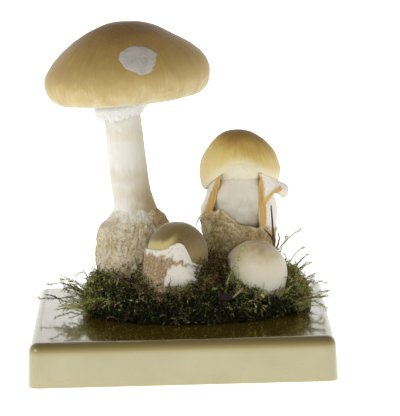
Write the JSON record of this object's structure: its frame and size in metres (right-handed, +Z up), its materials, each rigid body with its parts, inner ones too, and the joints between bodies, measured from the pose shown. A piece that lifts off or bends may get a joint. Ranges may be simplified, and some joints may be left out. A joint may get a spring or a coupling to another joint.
{
  "type": "death cap mushroom group",
  "caption": "Death caps at several ages, from closed egg to full-grown cap, in a moss cushion on a square board, for showing how the fungus grows.",
  "frame": {"origin": "middle of the board's flat underside", "axes": "+Z up out of the board, -Y towards the front, where the button and the egg stand, +X to the right as seen from the front"},
  "size_m": [0.18, 0.18, 0.2003],
  "materials": {
    "board": "smooth moulded plastic, cream, soft gloss",
    "soil": "rough dry litter and earth",
    "moss": "matt, wiry",
    "cap_olive": "silky, slightly moist, fine radial fibres",
    "gills": "matt",
    "stem": "matt, finely fibrous",
    "ring": "matt, thin and torn",
    "volva": "matt, granular, earthy",
    "veil_grey": "matt, fibrous",
    "young_cap": "silky, slightly moist",
    "young_stem": "silky, smooth",
    "young_veil": "silky",
    "young_volva": "matt outside, ochre on its torn inner faces",
    "button_cap": "silky, slightly moist",
    "button_volva": "matt, torn and earthy",
    "egg": "silky, smooth"
  },
  "bodies": {
    "root": {"base_board": "board", "soil_mound": "soil", "moss": "moss", "tall_cap": "cap_olive", "tall_gills": "gills", "tall_stem": "stem", "tall_ring": "ring", "tall_volva": "volva", "tall_veil_patch": "veil_grey", "young_cap": "young_cap", "young_stem": "young_stem", "young_veil": "young_veil", "young_volva": "young_volva", "button_cap": "button_cap", "button_volva": "button_volva", "egg": "egg"}
  },
  "joints": []
}
